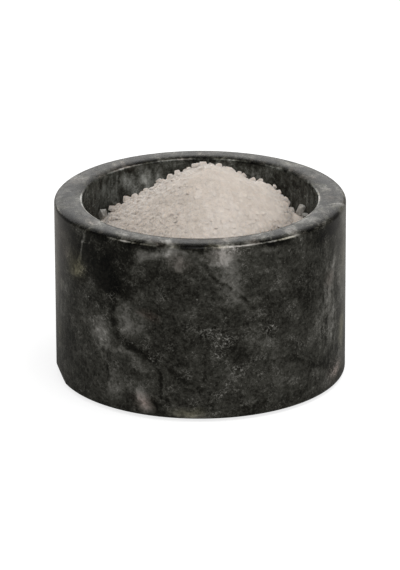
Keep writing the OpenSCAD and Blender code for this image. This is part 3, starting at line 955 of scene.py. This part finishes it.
def held_in_cylinder(points):
    """Points no further out than the salt's wall."""
    radius = np.hypot(points[:, 0], points[:, 1])
    inward = np.minimum(1.0, SALT_R / np.maximum(radius, 1e-6))
    points[:, :2] *= inward[:, None]
    return points


# How many shapes of crystals there are
SHAPE_COUNT = 28
# Sizes of the crystals, and how many places are tried for each
CRYSTAL_TRIES = [(2.9, 900), (2.5, 5000), (2.1, 9000), (1.7, 12000)]
FILL_TRIES = [(3.4, 2500), (3.0, 6000), (2.5, 12000)]
# How close two crystals may lie, as a share of their size, on the heap and against the bowl
HEAP_CLOSENESS = 0.8
FILL_CLOSENESS = 0.82
# How far inside the salt's wall they stay, as shares of their size
HEAP_INSET = 0.2
FILL_INSET = 0.3
# How far the crystals' seats lie above the heap's height
SEAT_LIFT = 0.6
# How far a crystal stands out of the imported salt, as shares of its size
PROUD_SHARES = (0.07, 0.09, 0.12, 0.15, 0.18)
SKYLINE_PROUD_SHARES = (0.2, 0.3, 0.4, 0.5)
# The salt lies smoother from left to right, and would be level this far from the middle
SMOOTHING_REACH = 110
# The skyline of the heap, seen from the front at this slope, is where the crystals stand out the most
SIGHT_SLOPE = 0.376
SKYLINE_HALF_WIDTH = 1.6
SKYLINE_GROWTH = 1.3


def skyline(x):
    """How far back the heap hides what is behind it, for each distance to the side."""
    return max(range(0, 36), key=lambda y: heap_height(x, y) + SIGHT_SLOPE * y)


def heap_packing(draw):
    """Seats of the crystals over the whole heap."""
    packing = Packing(HEAP_CLOSENESS)
    skylines = {x: skyline(x) for x in range(-41, 42)}
    for size, count in CRYSTAL_TRIES:
        for _ in range(count):
            radius = (SALT_R - HEAP_INSET * size) * math.sqrt(draw.random())
            bearing = draw.uniform(0, 2 * math.pi)
            seat, out = heap_seat(*on_circle(radius, bearing))
            on_skyline = abs(seat.y - skylines[round(seat.x)]) < SKYLINE_HALF_WIDTH
            width = size * draw.uniform(0.9, 1.1) * (SKYLINE_GROWTH if on_skyline else 1)
            proud = draw.choice(SKYLINE_PROUD_SHARES if on_skyline else PROUD_SHARES) * width
            proud *= 1 if on_skyline else 1 - seat.x / SMOOTHING_REACH
            packing.try_seat(seat + out * (SEAT_LIFT + proud - width / 2), out, width)
    return packing.seats


# Bands of crystals, as shares of the way down the heap
BANDS = [
    ("crystals_crown", 0, 0.25),
    ("crystals_upper_slope", 0.25, 0.5),
    ("crystals_middle_slope", 0.5, 0.75),
    ("crystals_lower_slope", 0.75, 1.01),
]


def make_crystals(material, shapes):
    draw = random.Random(11)
    seats = heap_packing(draw)
    for node, low, high in BANDS:
        chosen = [seat for seat in seats if low <= heap_share(seat[0].x, seat[0].y)[0] < high]
        piece = crystal_mesh(node + "_surface", chosen, shapes, draw, material, held_in_cylinder)
        stand_for(piece, "salt", "crystal", node)


def fill_profile():
    """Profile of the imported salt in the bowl, inside the crystals at its wall and floor."""
    corner = HOLLOW_CORNER_R
    top = FOOT_Z - 1
    return (
        [(0, FLOOR_Z + SKIN_T)]
        + arc((SALT_R - corner, FLOOR_Z + corner), corner - SKIN_T, -90, 0, 10)
        + [(SALT_R - SKIN_T, top), (0, top)]
    )


def held_in_bowl(points):
    """Points no further out than the salt's wall and no lower than its floor and corner."""
    points = held_in_cylinder(points)
    points[:, 2] = np.maximum(points[:, 2], FLOOR_Z)
    radius = np.hypot(points[:, 0], points[:, 1])
    out = np.maximum(0, radius - (SALT_R - HOLLOW_CORNER_R))
    down = np.maximum(0, FLOOR_Z + HOLLOW_CORNER_R - points[:, 2])
    away = np.hypot(out, down)
    beyond = np.where((out > 0) & (down > 0), np.maximum(away / HOLLOW_CORNER_R, 1), 1)
    points[:, :2] *= ((radius - out + out / beyond) / np.maximum(radius, 1e-6))[:, None]
    points[:, 2] += down - down / beyond
    return points


def wall_seat(draw, bearing, inset):
    """Distance from the axis, height and way out of a seat against the wall."""
    z = draw.uniform(FLOOR_Z + HOLLOW_CORNER_R, heap_height(*on_circle(SALT_R, bearing)))
    return SALT_R - inset, z, Vector((*on_circle(1, bearing), 0))


def floor_seat(draw, bearing, inset):
    """Distance from the axis, height and way out of a seat on the floor or in its rounded corner."""
    margin = 1.5
    radius = (SALT_R - margin) * math.sqrt(draw.random())
    over = radius - (SALT_R - HOLLOW_CORNER_R)
    if over <= 0:
        return radius, FLOOR_Z + inset, Vector((0, 0, -1))
    down, level = on_circle(1, over / HOLLOW_CORNER_R * math.pi / 2)
    radius = SALT_R - HOLLOW_CORNER_R + (HOLLOW_CORNER_R - inset) * level
    z = FLOOR_Z + HOLLOW_CORNER_R - (HOLLOW_CORNER_R - inset) * down
    return radius, z, Vector((*on_circle(level, bearing), -down))


def fill_packing(draw):
    """Seats of the crystals that the bowl's wall and floor press flat."""
    packing = Packing(FILL_CLOSENESS)
    floor_area = SALT_R ** 2
    wall_area = 2 * SALT_R * (TOE_Z - FLOOR_Z)
    for size, count in FILL_TRIES:
        for _ in range(count):
            bearing = draw.uniform(0, 2 * math.pi)
            at_wall = draw.random() < wall_area / (wall_area + floor_area)
            radius, z, out = (wall_seat if at_wall else floor_seat)(draw, bearing, FILL_INSET * size)
            point = Vector((*on_circle(radius, bearing), z))
            packing.try_seat(point, out, size * draw.uniform(0.9, 1.1))
    return packing.seats


def make_fill(material, crystal, shapes):
    """Packed salt inside the bowl: a core, and crystals pressed flat against the wall and floor."""
    core = lathe("salt_fill_core", filled(fill_profile(), 2.5, 0.2), 200, material)
    draw = random.Random(23)
    skin = crystal_mesh("salt_fill_crystals", fill_packing(draw), shapes, draw, crystal, held_in_bowl)
    stand_for(core, "salt", "salt", "salt_fill")
    stand_for(skin, "salt", "crystal", "salt_fill")


# Crystals that stand by themselves: bearing from the right, distance from the wall, width, height and lean
LEFT_CRYSTALS = [(155, 3.1, 2.9, 4.2, -4)]
RIGHT_CRYSTALS = [
    (14, 4.7, 2.6, 5.4, 32), (4, 2.4, 3.0, 3.0, -15), (9.5, 2.8, 3.0, 3.6, 12), (17.5, 2.3, 3.0, 3.6, 5),
    (22, 6.2, 2.4, 3.2, -12),
]
# How high such a crystal's middle lies above the salt, as a share of its height, and the width of its shape
STANDING_SHARE = 0.42
SHAPE_WIDTH = 0.9


def standing_crystals(node, places, material, shapes, draw):
    placed = []
    for bearing, inset, width, height, lean in places:
        x, y = on_circle(SALT_R - inset, math.radians(bearing))
        middle = np.array((x, y, heap_height(x, y) + STANDING_SHARE * height))
        vertices, faces = draw.choice(shapes)
        turn = Matrix.Rotation(math.radians(lean), 3, "Y") @ Euler((0, 0, draw.uniform(0, 6.3))).to_matrix()
        size = np.array((width, width, height)) / SHAPE_WIDTH
        placed.append((held_in_cylinder(vertices * size @ np.array(turn).T + middle), faces))
    piece = merged(node + "_surface", placed, material)
    stand_for(piece, "salt", "clear_crystal", node)


# Stage

WHITE = (1, 1, 1, 1)
# The stage is slightly warm where the stone mirrors it
MIRRORED_FLOOR = (1.0, 0.95, 0.87, 1)
MIRRORED_WORLD = (1.0, 0.975, 0.93, 1)


def seen_rays(nodes, path):
    """1 for rays from the camera, a gloss or a clear crystal, and 0 for the rest."""
    seen = nodes.math("MAXIMUM", path["Is Camera Ray"], path["Is Glossy Ray"])
    return nodes.math("MAXIMUM", seen, path["Is Transmission Ray"])


def floor_material():
    """Pale, as bright as the background where it is seen, and glowing behind the object where mirrored."""
    material, nodes, place = new_material("floor")
    path = nodes.add("ShaderNodeLightPath").outputs
    glossy = path["Is Glossy Ray"]
    behind = nodes.smooth(nodes.parts(place)["Y"], 20, 100, 0.0, 0.26)
    strength = nodes.plus(nodes.times(seen_rays(nodes, path), 0.08), path["Is Camera Ray"], 0.7)
    strength = nodes.plus(strength, glossy, behind)
    level = nodes.plus(0.4, glossy, -0.25)
    shade = nodes.add("ShaderNodeCombineColor", {"Red": level, "Green": level, "Blue": level})
    diffuse = nodes.add("ShaderNodeBsdfDiffuse", {"Color": shade.outputs[0]})
    colour = nodes.mix(glossy, WHITE, MIRRORED_FLOOR)
    glow = nodes.add("ShaderNodeEmission", {"Color": colour, "Strength": strength})
    both = nodes.add("ShaderNodeAddShader", {0: diffuse.outputs[0], 1: glow.outputs[0]})
    finish_material(nodes, both.outputs[0])
    return material


def make_floor():
    half = 6000
    corners = [(-half, -half, 0), (half, -half, 0), (half, half, 0), (-half, half, 0)]
    floor = add_mesh("floor", corners, [(0, 1, 2, 3)], floor_material())


def make_world():
    """White where the camera sees it. The stone mirrors a wall that is brightest behind it."""
    world = bpy.data.worlds.new("studio")
    world.use_nodes = True
    bpy.context.scene.world = world
    nodes = Nodes(world.node_tree)
    way = nodes.parts(nodes.add("ShaderNodeTexCoord").outputs["Generated"])
    path = nodes.add("ShaderNodeLightPath").outputs
    seen, camera = seen_rays(nodes, path), path["Is Camera Ray"]
    ceiling = nodes.smooth(way["Z"], 0.4, 0.75, 1.0, 0.25)
    behind = nodes.smooth(way["Y"], 0.5, 0.93, 0.2, 0.49)
    backdrop = nodes.math("MAXIMUM", nodes.times(ceiling, behind), camera)
    room = nodes.times(nodes.math("SUBTRACT", 1.0, seen), 0.5)
    shade = nodes.mix(nodes.math("SUBTRACT", seen, camera), WHITE, MIRRORED_WORLD)
    strength = nodes.plus(room, seen, backdrop)
    background = nodes.add("ShaderNodeBackground", {"Color": shade, "Strength": strength})
    nodes.add("ShaderNodeOutputWorld", {"Surface": background.outputs[0]})


def add_softbox(name, place, target, width, height, watts):
    lamp = bpy.data.lights.new(name, "AREA")
    lamp.shape = "RECTANGLE"
    lamp.size, lamp.size_y = width, height
    lamp.energy = watts
    softbox = new_object(name, lamp)
    softbox.location = place
    softbox.rotation_euler = (Vector(target) - Vector(place)).to_track_quat("-Z", "Y").to_euler()


# Camera: height above the level and roll in degrees, distance from the stone's middle, and where it aims
CAMERA_ELEVATION = 20.59
CAMERA_ROLL = -0.22
CAMERA_DISTANCE = 1651
AIM_SHIFT = Vector((-0.15, 0, -1.07))
LENS_MM = 297.8
SENSOR_MM = 36


def make_camera():
    elevation = math.radians(CAMERA_ELEVATION)
    middle = Vector((0, 0, (BASE_Z + RIM_Z) / 2))
    place = middle + Vector((0, -math.cos(elevation), math.sin(elevation))) * CAMERA_DISTANCE
    lens = bpy.data.cameras.new("camera")
    lens.lens, lens.sensor_width = LENS_MM, SENSOR_MM
    lens.clip_start, lens.clip_end = 0.05, 30
    camera = new_object("camera", lens)
    camera.location = place * MM
    turn = (middle + AIM_SHIFT - place).to_track_quat("-Z", "Y").to_matrix()
    roll = Euler((0, 0, math.radians(CAMERA_ROLL))).to_matrix()
    camera.rotation_euler = (turn @ roll).to_euler()
    bpy.context.scene.camera = camera


def main():
    bpy.context.scene.view_settings.view_transform = "Standard"
    make_camera()
    make_world()
    make_floor()
    add_softbox("top_softbox", (0.3, -0.2, 1.3), (0, 0, 0.04), 0.9, 0.7, 7.9)
    add_softbox("back_softbox", (-0.2, 1.3, 0.5), (0, 0, 0.06), 1.2, 0.5, 2.5)
    make_stone(marble_material())
    make_pads(pad_material())
    salt = salt_material("salt", (225, 214, 203), 2.0)
    crystal = salt_material("crystal", (231, 219, 208), 1.6)
    clear = clear_salt_material()
    draw = random.Random(5)
    shapes = [crystal_shape(draw) for _ in range(SHAPE_COUNT)]
    make_core(salt)
    make_fill(salt, crystal, shapes)
    make_crystals(crystal, shapes)
    standing_crystals("loose_crystal_left", LEFT_CRYSTALS, clear, shapes, draw)
    standing_crystals("loose_crystals_right", RIGHT_CRYSTALS, clear, shapes, draw)


main()
